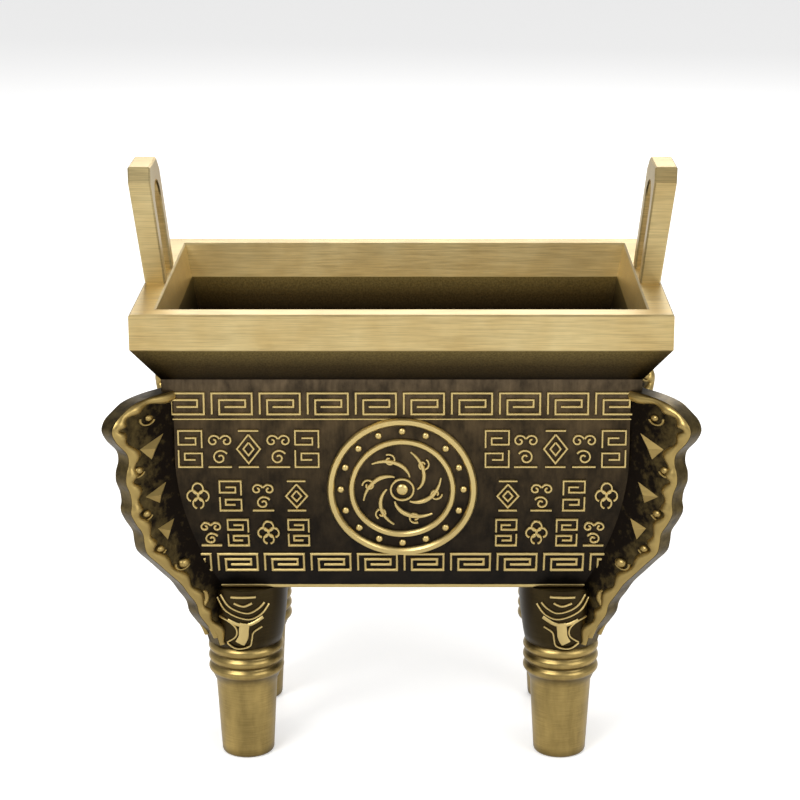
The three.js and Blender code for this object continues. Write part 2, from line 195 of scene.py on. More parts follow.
def brushed_brass():
    """Cast brass brushed along its length: fine pale lines that break up the sheen."""
    material, tree = new_material("pale_brushed_brass")
    fine = grain(tree, (0.03, 0.35, 1.0), 0.55)
    broad = grain(tree, (1.0, 1.0, 1.0), 30.0)
    pale = colours().pale
    dull = tuple(channel * 0.74 for channel in pale)
    tint = add_node(tree, RAMP, {"Fac": fine}, [(0.3, rgba(dull)), (0.62, rgba(pale))]).outputs["Color"]
    warmth = [(0.35, srgb("#efe7da")), (0.7, grey(1.0))]
    warm = add_node(tree, RAMP, {"Fac": broad}, warmth).outputs["Color"]
    mixed = add_node(tree, MIX, {FACTOR: 1.0, FIRST: tint, SECOND: warm}, **MULTIPLY)
    # The sloping underside of the rim keeps its grainy dark patina, with painted shade that deepens it
    # towards the neck
    place = add_node(tree, "ShaderNodeTexCoord").outputs["Object"]
    height = add_node(tree, "ShaderNodeSeparateXYZ", {0: place}).outputs["Z"]
    band_low = RIM_TOP - RIM_BAND * MM
    edge = {"Value": height, "From Min": band_low, "From Max": band_low - BAND_EDGE * MM}
    under = add_node(tree, RANGE, edge).outputs[0]
    slope = {"Value": height, "From Min": band_low, "From Max": RIM_LOW[2]}
    depth = add_node(tree, RANGE, slope).outputs[0]
    speckle = grain(tree, (1.0, 1.0, 1.0), 0.9, 6.0)
    # painted shade: brown at the band's edge, nearly black where the underside meets the neck
    patina_and_painted_shade = [(0.0, srgb("#6e5f38")), (0.55, srgb("#3d321d")), (1.0, srgb("#1b150e"))]
    dark = add_node(tree, RAMP, {"Fac": depth}, patina_and_painted_shade).outputs["Color"]
    specks = add_node(tree, RAMP, {"Fac": speckle}, [(0.35, grey(0.25)), (0.65, grey(0.8))]).outputs["Color"]
    mottled = add_node(
        tree, MIX, {FACTOR: 0.5, FIRST: dark, SECOND: specks}, data_type="RGBA", blend_type="OVERLAY"
    )
    finishes = {FACTOR: under, FIRST: mixed.outputs[MIXED], SECOND: mottled.outputs[MIXED]}
    both = add_node(tree, MIX, finishes, data_type="RGBA")
    rough = add_node(tree, RANGE, {"Value": fine, "To Min": 0.26, "To Max": 0.46}).outputs[0]
    finish_metal(tree, both.outputs[MIXED], rough, fine, 0.03)
    return material


def patina_ground():
    """Cast brass under dark patina: mottled brown, with painted light near the neck and painted shade that
    turns it nearly black towards the wall's foot.
    """
    material, tree = new_material("dark_patina_painted_shade_brass")
    place = add_node(tree, "ShaderNodeTexCoord").outputs["Object"]
    height = add_node(tree, "ShaderNodeSeparateXYZ", {0: place}).outputs["Z"]
    wall = {"Value": height, "From Min": BELLY_BOTTOM, "From Max": RIM_TOP - BEVEL_END}
    level = add_node(tree, RANGE, wall).outputs[0]
    streaks = grain(tree, (1.0, 1.0, 0.12), 1.6, 4.0)
    mottle = grain(tree, (1.0, 1.0, 0.6), 9.0, 5.0)
    patina = rgba(colours().patina)
    # painted light and shade: lighter near the neck, nearly black towards the foot where the wall draws in
    painted_light_and_shade = [(0.0, srgb("#1a140f")), (0.45, patina), (0.85, srgb("#5a4a32")), (1.0, srgb("#6a5a44"))]
    base = add_node(tree, RAMP, {"Fac": level}, painted_light_and_shade).outputs["Color"]
    spots = add_node(tree, RAMP, {"Fac": mottle}, [(0.36, grey(0.35)), (0.64, grey(1.0))]).outputs["Color"]
    lines = add_node(tree, RAMP, {"Fac": streaks}, [(0.3, grey(0.72)), (0.7, grey(1.0))]).outputs["Color"]
    first = add_node(tree, MIX, {FACTOR: 1.0, FIRST: base, SECOND: spots}, **MULTIPLY)
    both = add_node(tree, MIX, {FACTOR: 1.0, FIRST: first.outputs[MIXED], SECOND: lines}, **MULTIPLY)
    rough = add_node(tree, RANGE, {"Value": mottle, "To Min": 0.34, "To Max": 0.6}).outputs[0]
    finish_metal(tree, both.outputs[MIXED], rough, streaks, 0.05, 0.85)
    return material


def rubbed_relief(name, crest, line_mm):
    """Raised ornament: dark at its foot and rubbed back to bright brass on its crest."""
    material, tree = new_material(name)
    lift = add_node(tree, "ShaderNodeAttribute", attribute_name="lift").outputs["Fac"]
    wear = grain(tree, (1.0, 1.0, 1.0), line_mm * 6, 5.0)
    fine = grain(tree, (0.2, 0.2, 1.0), line_mm, 2.0)
    worn = add_node(tree, "ShaderNodeMath", {0: wear, 1: 0.55}, operation="MULTIPLY").outputs[0]
    level = add_node(tree, "ShaderNodeMath", {0: lift, 1: worn}, operation="ADD").outputs[0]
    dull = tuple(channel * 0.5 for channel in crest)
    rubbing = [(0.35, rgba(colours().shade)), (0.75, rgba(dull)), (0.885, rgba(crest)), (1.0, rgba(crest))]
    tint = add_node(tree, RAMP, {"Fac": level}, rubbing).outputs["Color"]
    rough = add_node(tree, RANGE, {"Value": fine, "To Min": 0.26, "To Max": 0.5}).outputs[0]
    finish_metal(tree, tint, rough, fine, 0.03)
    return material


def turned_brass():
    """Turned and brushed antique brass: fine rings around the leg, darker towards its top."""
    material, tree = new_material("turned_antique_brass")
    lift = add_node(tree, "ShaderNodeAttribute", attribute_name="lift").outputs["Fac"]
    rings = grain(tree, (0.04, 0.04, 1.0), 0.5, 3.0)
    clouds = grain(tree, (1.0, 1.0, 0.3), 12.0, 4.0)
    antique = colours().antique
    bright = tuple(min(1.0, channel * 1.35) for channel in antique)
    shaft = add_node(tree, RAMP, {"Fac": rings}, [(0.3, rgba(antique)), (0.7, rgba(bright))]).outputs["Color"]
    dimmed = add_node(tree, RAMP, {"Fac": clouds}, [(0.35, grey(0.62)), (0.65, grey(1.0))]).outputs["Color"]
    cloudy = add_node(tree, MIX, {FACTOR: 1.0, FIRST: shaft, SECOND: dimmed}, **MULTIPLY)
    parts = {FACTOR: lift, FIRST: rgba(colours().shade), SECOND: cloudy.outputs[MIXED]}
    both = add_node(tree, MIX, parts, data_type="RGBA")
    rough = add_node(tree, RANGE, {"Value": rings, "To Min": 0.24, "To Max": 0.44}).outputs[0]
    finish_metal(tree, both.outputs[MIXED], rough, rings, 0.03)
    return material


def cavity_brass():
    """The unpolished inside of the casting: dark reddish brown with a faint rough skin."""
    material, tree = new_material("cast_cavity_brass")
    skin = grain(tree, (1.0, 1.0, 1.0), 2.2, 6.0)
    browns = [(0.3, srgb("#1a0f0c")), (0.7, rgba(colours().cavity))]
    tint = add_node(tree, RAMP, {"Fac": skin}, browns).outputs["Color"]
    finish_metal(tree, tint, 0.55, skin, 0.12, 0.6)
    return material


def zinc_steel():
    """Zinc-plated steel of bolts and washers: grey with a slightly cloudy sheen."""
    material, tree = new_material("zinc_plated_steel")
    clouds = grain(tree, (1.0, 1.0, 1.0), 2.5, 4.0)
    greys = [(0.3, srgb("#6f706c")), (0.7, srgb("#a2a29b"))]
    tint = add_node(tree, RAMP, {"Fac": clouds}, greys).outputs["Color"]
    finish_metal(tree, tint, 0.38, clouds, 0.02)
    return material


def relief_brass():
    """The relief on the walls and legs, rubbed brightest."""
    return rubbed_relief("rubbed_relief_brass", colours().rubbed, 0.6)


def flange_brass():
    """The corner flanges, less rubbed and with a coarser grain."""
    return rubbed_relief("rubbed_flange_brass", colours().antique, 0.8)


MAKERS = {
    "pale": brushed_brass,
    "ground": patina_ground,
    "relief": relief_brass,
    "bead": flange_brass,
    "leg": turned_brass,
    "cavity": cavity_brass,
    "steel": zinc_steel,
}
MATERIALS = {}


def finish(name):
    """One of the object's finishes, made once."""
    if name not in MATERIALS:
        MATERIALS[name] = MAKERS[name]()
    return MATERIALS[name]


# Meshes


class Shape:
    """Vertices with their lift, 0 at the ground and 1 at the crest, and faces."""

    def __init__(self):
        self.points = []
        self.lifts = []
        self.faces = []
        self.slots = []

    def point(self, place, lift=1.0):
        self.points.append(tuple(place))
        self.lifts.append(lift)
        return len(self.points) - 1

    def face(self, corners, slot=0):
        self.faces.append(tuple(corners))
        self.slots.append(slot)

    def sweep(self, rings, closed=False):
        """Joins rings of as many points, each a closed loop of indices."""
        count = len(rings[0])
        pairs = list(zip(rings, rings[1:]))
        if closed:
            pairs.append((rings[-1], rings[0]))
        for first, second in pairs:
            for i in range(count):
                j = (i + 1) % count
                self.face((first[i], first[j], second[j], second[i]))
        if not closed:
            self.face(reversed(rings[0]))
            self.face(rings[-1])

    def piece(self, name, materials, sharp=35):
        """Makes the object, shaded smooth below an angle in degrees."""
        mesh = bpy.data.meshes.new(name)
        mesh.from_pydata(self.points, [], self.faces)
        attribute = mesh.attributes.new("lift", "FLOAT", "POINT")
        attribute.data.foreach_set("value", self.lifts)
        for material in materials:
            mesh.materials.append(material)
        mesh.polygons.foreach_set("material_index", self.slots)
        work = bmesh.new()
        work.from_mesh(mesh)
        bmesh.ops.recalc_face_normals(work, faces=work.faces)
        work.to_mesh(mesh)
        work.free()
        mesh.polygons.foreach_set("use_smooth", [True] * len(mesh.polygons))
        mesh.set_sharp_from_angle(angle=math.radians(sharp))
        thing = bpy.data.objects.new(name, mesh)
        bpy.context.scene.collection.objects.link(thing)
        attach(thing, "root")
        return thing


def belly_inset(drop):
    """How far the wall's outer face lies inside the rim's outer face, at a depth below the rim's top."""
    s = sizes()
    along = max(0.0, (drop - s.curve_start) / (BELLY_DEPTH - s.curve_start))
    return s.neck_inset + (s.base_inset - s.neck_inset) * along**CURVE_POWER


def on_wall(side, across, drop, lift=0.0):
    """A point on a wall's outer face, or raised from it along its normal."""
    reach = HALF[1 - side % 2]
    step = 0.5 * MM
    slope = (belly_inset(drop + step) - belly_inset(drop - step)) / (2 * step)
    size = math.hypot(1.0, slope)
    out = reach - belly_inset(drop) + lift / size
    local = (across, -out, RIM_TOP - drop - lift * slope / size)
    return turn(local, side)


def turn(place, side):
    """A point turned about Z by quarter turns."""
    x, y, z = place
    for _ in range(side):
        x, y = -y, x
    return (x, y, z)


def wall_half(side, drop):
    """Half the length of a wall at a depth."""
    return HALF[side % 2] - belly_inset(drop)


def walk(points, step):
    """The same line with no stretch longer than step."""
    line = []
    for (x0, y0), (x1, y1) in zip(points, points[1:]):
        parts = max(1, math.ceil(math.hypot(x1 - x0, y1 - y0) / step))
        line += [(x0 + (x1 - x0) * i / parts, y0 + (y1 - y0) * i / parts) for i in range(parts)]
    line.append(points[-1])
    return line


# Half a rounded line's width by its height, both as shares, from edge to edge
RIBBON_SECTION = [(-1.0, -0.25), (-0.86, 0.6), (-0.5, 1.0), (0.5, 1.0), (0.86, 0.6), (1.0, -0.25)]
MOST_MITRE = 1.5  # how far a line's width may grow at a corner


def ribbon(shape, place, line, width, height, closed=False, taper=False):
    """A raised rounded line. place(across, along, lift) gives the point on the surface that carries it."""
    count = len(line)
    rings = []
    for i, (x, y) in enumerate(line):
        before = line[i - 1] if i or closed else None
        after = line[(i + 1) % count] if i < count - 1 or closed else None
        directions = []
        for a, b in ((before, (x, y)), ((x, y), after)):
            if a is None or b is None:
                continue
            size = math.hypot(b[0] - a[0], b[1] - a[1])
            if size:
                directions.append(((b[0] - a[0]) / size, (b[1] - a[1]) / size))
        dx = sum(d[0] for d in directions)
        dy = sum(d[1] for d in directions)
        size = math.hypot(dx, dy) or 1.0
        reach = min(MOST_MITRE, 2 / size) if len(directions) == 2 else 1.0
        share = 0.35 + 0.65 * math.sin(math.pi * (i + 0.5) / count) if taper else 1.0
        half = width / 2 * share
        ring = []
        for offset, level in RIBBON_SECTION:
            across = x - dy / size * offset * half * reach
            along = y + dx / size * offset * half * reach
            ring.append(shape.point(place(across, along, level * height * share), max(0.0, level)))
        rings.append(ring)
    shape.sweep(rings, closed)


BOSS_SUNK = 0.2 * MM  # how far a bead's foot lies under the surface
BOSS_SIDES = 14
BOSS_ROWS = 4


def boss(shape, place, x, y, radius, height):
    """A round bead on a surface."""
    rings = []
    for row in range(BOSS_ROWS):
        slope = math.pi / 2 * row / BOSS_ROWS
        level = math.sin(slope)
        lift = height * level if row else -BOSS_SUNK
        ring = []
        for i in range(BOSS_SIDES):
            angle = 2 * math.pi * i / BOSS_SIDES
            across = x + radius * math.cos(slope) * math.cos(angle)
            along = y + radius * math.cos(slope) * math.sin(angle)
            ring.append(shape.point(place(across, along, lift), 0.2 + 0.8 * level))
        rings.append(ring)
    shape.sweep(rings)


def arc(x, y, radius, start, end, steps=14):
    """Points of an arc, in degrees, counter-clockwise from +X with depth counted downward."""
    angles = [math.radians(start + (end - start) * i / steps) for i in range(steps + 1)]
    return [(x + radius * math.cos(a), y - radius * math.sin(a)) for a in angles]


def spiral(x, y, first, last, start, sweep, steps=22):
    """Points of a spiral from one radius to another, in degrees."""
    line = []
    for i in range(steps + 1):
        share = i / steps
        angle = math.radians(start + sweep * share)
        radius = first + (last - first) * share
        line.append((x + radius * math.cos(angle), y - radius * math.sin(angle)))
    return line


# Walls


WALL_ROWS = 26
WALL_COLUMNS = 9
LINE_STEP = 3 * MM  # the longest straight run of a line, so that it follows the walls' curve
LEVEL_STEP = 12 * MM  # the same for a level line


def section_of_wall():
    """The wall's closed section as (inset, depth): down the outer face, and up the inner one."""
    s = sizes()
    drops = [BEVEL_END + (BELLY_DEPTH - BEVEL_END) * i / WALL_ROWS for i in range(WALL_ROWS + 1)]
    outer = [(belly_inset(drop), drop) for drop in drops]
    floor_top = BELLY_DEPTH - s.floor
    land = belly_inset(floor_top) + s.wall
    inner = [(belly_inset(drop) + s.wall, drop) for drop in reversed(drops) if drop < floor_top]
    return outer, [(land, BELLY_DEPTH), (land, floor_top)] + inner


def make_wall(side):
    """One curved wall, under dark patina and painted shade outside and with its cast skin inside."""
    outer, inner = section_of_wall()
    shape = Shape()
    rings = []
    for column in range(WALL_COLUMNS):
        share = 2 * column / (WALL_COLUMNS - 1) - 1
        ring = []
        for inset, drop in outer + inner:
            across = share * (HALF[side % 2] - inset - HAIR)
            reach = HALF[1 - side % 2] - inset
            ring.append(shape.point(turn((across, -reach, RIM_TOP - drop), side), 1.0))
        rings.append(ring)
    count = len(rings[0])
    for first, second in zip(rings, rings[1:]):
        for i in range(count):
            j = (i + 1) % count
            inside = 1 if i >= len(outer) else 0
            shape.face((first[i], first[j], second[j], second[i]), inside)
    shape.face(reversed(rings[0]))
    shape.face(rings[-1])
    wall = shape.piece(f"{WALLS[side]}_wall", [finish("ground"), finish("cavity")])
    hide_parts(f"{WALLS[side]}_panel")


# One key as shares of its pitch and of the band's height, upward from its foot
FRET_KEY = [
    (0, 0), (0, 1), (0.836, 1), (0.836, 0), (0.156, 0),
    (0.156, 0.68), (0.7, 0.68), (0.7, 0.35), (0.27, 0.35),
]
KEY_SHIFT = 0.04  # of a pitch, so that a band's first line clears the corner
CLEAR_OF_CORNER = 2.2 * MM
FRET_SHARE = 0.8  # the frets' height, as a share of the ornaments'
EDGE_DROP = 2.6 * MM  # from the upper fret's foot to the line under it
EDGE_LINE = 0.9 * MM
LIP_LINE = 2.0 * MM
LIP_RISE = 1.2 * MM  # from the wall's foot to the middle of its lip
LINE_INSET = 1.2 * MM  # from the corner to a line's end
LINE_HEIGHT = 0.5 * MM


def make_frets(side):
    """Both bands of keys, their edge lines and the lip along the wall's foot."""
    s = sizes()
    shape = Shape()

    def place(across, drop, lift):
        return on_wall(side, across, drop, lift)

    bands = [(s.upper_fret_top, s.upper_fret_low, True), (s.lower_fret_top, s.lower_fret_low, False)]
    for top, low, whole in bands:
        half = wall_half(side, (top + low) / 2)
        keys = round(2 * half / s.fret_pitch) if whole else 2 * math.ceil(half / s.fret_pitch)
        pitch = 2 * half / keys if whole else s.fret_pitch
        for key in range(keys):
            start = (key - keys / 2) * pitch
            corners = [(start + (x + KEY_SHIFT) * pitch, low + (top - low) * y) for x, y in FRET_KEY]
            line = walk(corners, LINE_STEP)
            # Where a corner cuts a key short, what is left of it is drawn as separate runs
            runs = [[]]
            for x, y in line:
                if abs(x) < wall_half(side, y) - CLEAR_OF_CORNER:
                    runs[-1].append((x, y))
                else:
                    runs.append([])
            for run in runs:
                if len(run) > 1:
                    ribbon(shape, place, run, s.fret_line, s.relief * FRET_SHARE)
    lines = [(s.upper_fret_low + EDGE_DROP, EDGE_LINE), (BELLY_DEPTH - LIP_RISE, LIP_LINE)]
    for drop, width in lines:
        half = wall_half(side, drop) - LINE_INSET
        ribbon(shape, place, walk([(-half, drop), (half, drop)], LEVEL_STEP), width, LINE_HEIGHT)
    shape.piece(f"{WALLS[side]}_frets", [finish("relief")])


BEADS = 16
WHORL_ARMS = 6
ARM_START, ARM_END = 7.5, 20.0  # radii in millimetres
ARM_SWEEP = 78  # degrees that an arm runs round the boss
CURL_AHEAD = 52  # degrees from an arm's start to the curl inside it
CURL_MIDDLE = 16.6 * MM  # from the boss to the curl's middle


def make_medallion(side):
    """Two rings, a circle of beads and a six-armed whorl round a boss."""
    s = sizes()
    shape = Shape()
    middle = s.medallion_drop

    def place(across, drop, lift):
        return on_wall(side, across, drop, lift)

    for radius, width, height in ((s.outer_ring, 4.2, 2.3), (s.inner_ring, 3.4, 1.9)):
        ribbon(shape, place, arc(0, middle, radius, 0, 360, 96)[:-1], width * MM, height * MM, closed=True)
    for i in range(BEADS):
        angle = 2 * math.pi * i / BEADS
        across = s.bead_circle * math.sin(angle)
        drop = middle - s.bead_circle * math.cos(angle)
        boss(shape, place, across, drop, s.bead, s.bead * 0.9)
    ribbon(shape, place, arc(0, middle, 5.6 * MM, 0, 360, 32)[:-1], 1.5 * MM, 1.2 * MM, closed=True)
    boss(shape, place, 0, middle, 3.2 * MM, 2.0 * MM)
    for i in range(WHORL_ARMS):
        start = 360 / WHORL_ARMS * i
        arm = spiral(0, middle, ARM_START * MM, ARM_END * MM, start, ARM_SWEEP, 16)
        ribbon(shape, place, arm, 2.6 * MM, 1.5 * MM, taper=True)
        tip = math.radians(start + CURL_AHEAD)
        curl = (CURL_MIDDLE * math.cos(tip), middle - CURL_MIDDLE * math.sin(tip))
        ribbon(shape, place, spiral(*curl, 3.2 * MM, 1.0 * MM, start + 60, -400), 1.3 * MM, 1.1 * MM)
    shape.piece(f"{WALLS[side]}_medallion", [finish("relief")])


def thunder(w, h):
    """Two square spirals, one above the other, turned against each other."""
    upper = [
        (-0.46, -0.03), (-0.46, -0.5), (0.46, -0.5), (0.46, -0.12),
        (-0.22, -0.12), (-0.22, -0.3), (0.2, -0.3),
    ]
    lower = [(-x, -y) for x, y in upper]
    return [[(x * w, y * h) for x, y in line] for line in (upper, lower)]


def cloud(w, h):
    """A pair of facing scrolls over a third."""
    left = spiral(-0.25 * w, -0.22 * h, 0.25 * w, 0.05 * w, 20, 430)
    right = [(-x, y) for x, y in left]
    low = spiral(0.0, 0.24 * h, 0.32 * w, 0.06 * w, 150, -470)
    return [left, right, low, [(-0.46 * w, 0.5 * h), (0.46 * w, 0.5 * h)]]


def lozenge(w, h):
    """A diamond in a diamond between two bars."""
    lines = []
    for size in (1.0, 0.45):
        corners = [(0, -0.4), (0.46, 0), (0, 0.4), (-0.46, 0), (0, -0.4)]
        lines.append([(x * w * size, y * h * size) for x, y in corners])
    lines += [[(-0.4 * w, y * h), (0.4 * w, y * h)] for y in (-0.5, 0.5)]
    return lines


def petals(w, h):
    """Four petals round a middle."""
    loop = arc(0, 0, 0.23 * w, -70, 250)
    lines = []
    for right, down in ((1, 0), (0, 1), (-1, 0), (0, -1)):
        lines.append([(x + right * 0.24 * w, y * h / w * 0.8 + down * 0.25 * h) for x, y in loop])
    return lines


MOTIFS = [thunder, cloud, lozenge, cloud, thunder, petals]
# Rows of ornaments right of the middle, as depth, size and places across, in millimetres
MOTIF_ROWS = [
    (70.5, (12.4, 18.5), (46.5, 60.5, 75.0, 89.0, 103.5)),
    (95.2, (11.4, 16.0), (52.0, 68.5, 84.5, 100.5)),
    (116.0, (11.0, 15.0), (51.5, 66.5, 81.5, 95.0)),
]
MOTIF_LINE = 1.35 * MM
MOTIF_MARGIN = 3 * MM  # from the corner to the nearest ornament


def make_motifs(side):
    """Rows of small traditional ornaments on both sides of the medallion."""
    s = sizes()
    shape = Shape()
    for row, (drop, (wide, tall), places) in enumerate(MOTIF_ROWS):
        for order, across in enumerate(places):
            if across * MM + wide * MM / 2 > wall_half(side, drop * MM) - MOTIF_MARGIN:
                continue
            for mirror in (-1, 1):

                def place(x, y, lift):
                    return on_wall(side, mirror * (across * MM + x), drop * MM + y, lift)

                for line in MOTIFS[(order + row * 2) % len(MOTIFS)](wide * MM, tall * MM):
                    ribbon(shape, place, walk(line, LINE_STEP), MOTIF_LINE, s.relief)
    shape.piece(f"{WALLS[side]}_ornaments", [finish("relief")])


# Flanges: places are (out, depth) in millimetres, out from the neck's corner along X and along Y

FLANGE_EDGE = [
    (-3, 41), (6, 41.4), (13.8, 43), (19, 46.5), (22.6, 50.4), (24, 55), (22, 60.7), (18.1, 66.8), (17.4, 72),
    (18.5, 77), (18.7, 82), (17.2, 87.5), (16.7, 92.7), (17.1, 97.8), (15.1, 103.6), (12.4, 109.6),
    (11.8, 115.2), (10.6, 120.7), (5.8, 127.7), (0.8, 135), (-4, 142), (-7.2, 148.5), (-10.5, 155),
    (-11.7, 161), (-15, 167.7), (-19, 175), (-20.6, 181),
]
PYRAMIDS = [
    [(13.2, 66.3), (1, 60.3), (7.4, 73.9)],
    [(11.4, 91), (0.7, 85.4), (4.3, 96.9)],
    [(6.2, 108.7), (-2.2, 105.5), (1.4, 117)],
]
CURLS = [(8.2, 51.6, 1.7), (13.2, 76.5, 1.9), (10.4, 99.5, 1.9), (5, 119.5, 1.9), (-5.3, 130.5, 2.6)]
TAIL_SCROLL = [
    (-9, 149), (-12, 150.5), (-14.5, 149.5), (-15.5, 153.5), (-13.5, 158), (-14.2, 163), (-17.5, 170),
    (-19.5, 176),
]
HIDDEN = 3.2  # millimetres that a flange runs into the wall
HIDDEN_IN_LEG = -26  # how far out its tail's inner edge lies, inside the leg
ABOVE_FOOT = 5  # from the wall's foot to where the tail begins
THINNEST = 0.5  # how far its inner edge keeps from its notched one
BEAD_SIDES = 10
BEAD_SWELL = 0.25  # share by which the edge bead swells and thins along its length
PYRAMID_HEIGHT = 3.0 * MM
PYRAMID_SUNK = 0.5 * MM


def smooth_line(points, steps=4):
    """A rounded line through points, by Catmull-Rom."""
    line = []
    for i in range(len(points) - 1):
        p0, p1, p2 = points[max(0, i - 1)], points[i], points[i + 1]
        p3 = points[min(len(points) - 1, i + 2)]
        for k in range(steps):
            t = k / steps
            place = []
            for a, b, c, d in zip(p0, p1, p2, p3):
                bend = (2 * a - 5 * b + 4 * c - d) * t * t + (3 * b - a - 3 * c + d) * t**3
                place.append(0.5 * (2 * b + (c - a) * t + bend))
            line.append(tuple(place))
    line.append(points[-1])
    return line


def flange_web(shape, place, edge):
    """The plate between the beads, from its notched edge to inside the wall and the leg."""
    s = sizes()
    half = s.web / 2
    rings = []
    for out, drop in edge:
        in_wall = -(belly_inset(drop * MM) - s.neck_inset) / MM - HIDDEN
        deep = in_wall if drop < BELLY_DEPTH / MM - ABOVE_FOOT else HIDDEN_IN_LEG
        deep = min(out - THINNEST, deep)
        rings.append(
            [
                shape.point(place(out, drop, -half), 0.25),
                shape.point(place(out, drop, half), 0.25),
                shape.point(place(deep, drop, half), 0.0),
                shape.point(place(deep, drop, -half), 0.0),
            ]
        )
    shape.sweep(rings)


def flange_bead(shape, place, face, line, radius, swell):
    """A round bead along a line on one face of the web. A bead that swells lies within the edge."""
    s = sizes()
    middle = face * (s.web / 2 - 0.25 * s.flange_bead)
    rings = []
    for i, (out, drop) in enumerate(line):
        near, far = line[max(0, i - 1)], line[min(len(line) - 1, i + 1)]
        dx, dz = far[0] - near[0], far[1] - near[1]
        size = math.hypot(dx, dz) or 1.0
        fat = radius * (1 + swell * math.sin(i * 0.9))
        ring = []
        for k in range(BEAD_SIDES):
            angle = 2 * math.pi * k / BEAD_SIDES
            inward = fat / MM * (math.cos(angle) - (1.0 if swell else 0.0))
            lift = 0.55 + 0.45 * max(math.cos(angle), face * math.sin(angle))
            beside = middle + fat * math.sin(angle)
            ring.append(shape.point(place(out + dz / size * inward, drop - dx / size * inward, beside), lift))
        rings.append(ring)
    shape.sweep(rings)


def flange_studs(shape, on_face):
    """The pyramids, and the round studs with a hook beside each, on one face of the web."""
    for corners in PYRAMIDS:
        middle = [sum(c[i] for c in corners) / 3 for i in range(2)]
        tip = shape.point(on_face(middle[0] * MM, middle[1] * MM, PYRAMID_HEIGHT), 1.0)
        foot = [shape.point(on_face(a * MM, b * MM, -PYRAMID_SUNK), 0.55) for a, b in corners]
        for i in range(3):
            shape.face((foot[i], foot[(i + 1) % 3], tip))
        shape.face(tuple(reversed(foot)))
    for out, drop, radius in CURLS:
        boss(shape, on_face, out * MM, drop * MM, radius * MM, radius * MM)
        hook = spiral(out * MM + 1.2 * MM, drop * MM, 3.6 * MM, 2.6 * MM, 200, 170)
        ribbon(shape, on_face, hook, 1.1 * MM, 0.9 * MM)


def make_flange(corner):
    """A notched plate that stands out from a corner, with a bead along both edges and studs on both faces."""
    sign_x, sign_y = CORNERS[corner]
    s = sizes()
    shape = Shape()
    neck = (HALF[0] - s.neck_inset, HALF[1] - s.neck_inset)

    def place(out, drop, side):
        """side is the distance from the plate's middle plane, in metres."""
        along = side / math.sqrt(2)
        x = neck[0] + out * MM + along
        y = neck[1] + out * MM - along
        return (sign_x * x, sign_y * y, RIM_TOP - drop * MM)

    edge = smooth_line(FLANGE_EDGE)
    flange_web(shape, place, edge)
    for face in (-1, 1):

        def on_face(out, drop, lift):
            return place(out / MM, drop / MM, face * (s.web / 2 + lift))

        flange_bead(shape, place, face, edge, s.flange_bead, BEAD_SWELL)
        flange_bead(shape, place, face, smooth_line(TAIL_SCROLL), s.flange_bead * 0.55, 0.0)
        flange_studs(shape, on_face)
    flange = shape.piece(f"corner_flange_{corner}", [finish("bead")], 40)
    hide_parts(f"flange_{corner}")


# Legs, in millimetres above the ground

RING_TOP = 62.1
RING_BAND = 17.4
RING_RADIUS = 17.3  # in the grooves between the rings
RING_BULGE = 2.1
FOOT_RADIUS = 13.5
FOOT_ROUND = 1.6
SHAFT_RADIUS = 15.9
NECK_RADIUS = 18.8
NECK_SWELL = 3.2
NECK_LOW = RING_TOP + 0.5
LEG_SIDES = 72


def leg_neck_radius(share):
    """The radius above the rings, at a share of the way up to the belly."""
    return NECK_RADIUS + NECK_SWELL * math.sin(share * math.pi / 2)


def leg_profile():
    """Points of radius, height and lift, from the foot up to the belly."""
    line = []
    for angle in (0, 0.5, 1.0, 1.57):
        radius = FOOT_RADIUS - FOOT_ROUND + FOOT_ROUND * math.sin(angle)
        line.append((radius, FOOT_ROUND - FOOT_ROUND * math.cos(angle), 0.6))
    bottom = RING_TOP - RING_BAND
    for i in range(1, 12):
        share = i / 12
        radius = FOOT_RADIUS + (SHAFT_RADIUS - FOOT_RADIUS) * share
        line.append((radius, FOOT_ROUND + (bottom - 1 - FOOT_ROUND) * share, 1.0))
    for ring in range(3):
        for step in range(9):
            share = step / 8
            bulge = RING_BULGE * math.sin(math.pi * min(0.97, max(0.03, share))) ** 0.6
            height = bottom + RING_BAND / 3 * (ring + 0.04 + 0.92 * share)
            line.append((RING_RADIUS + bulge, height, min(1.0, 0.1 + bulge / 1.6)))
    line.append((NECK_RADIUS - 0.2, NECK_LOW, 0.1))
    top = BELLY_BOTTOM / MM
    for i in range(1, 9):
        line.append((leg_neck_radius(i / 8), NECK_LOW + (top - NECK_LOW) * i / 8, 0.08))
    return line


# Carved lines on the upper leg and their widths, in millimetres across from the leg's axis and
# below the rim's top
LEG_CARVING = [
    ([(-13.3, 154.4), (-8.5, 161.0), (2.2, 165.4), (9.5, 163.2), (14.1, 158.2)], 1.1),
    ([(-11.2, 152.7), (-6.5, 158.6), (2.2, 162.0), (8.0, 160.0), (11.5, 157.0)], 1.1),
    ([(-5.5, 153.4), (6.9, 153.4)], 1.6),
    ([(-4.0, 156.6), (0.8, 158.2), (5.0, 156.6)], 1.4),
    ([(-12.2, 164.8), (-6.5, 167.2), (-3.2, 170.8), (-3.5, 175.2), (-8.1, 179.0)], 1.1),
    (
        [(-8.1, 179.6), (-4.5, 181.9), (-0.8, 182.2), (3.4, 180.6), (4.4, 176.9), (5.4, 173.0), (9.8, 170.3)],
        1.1,
    ),
    ([(1.2, 167.6), (0.6, 171.5), (0.2, 175.5), (-1.6, 179.2)], 5.6),
    ([(-7.5, 166.3), (-1.5, 168.6), (4.0, 168.4), (10.5, 165.0)], 2.2),
]
CARVING_HEIGHT = 0.9 * MM


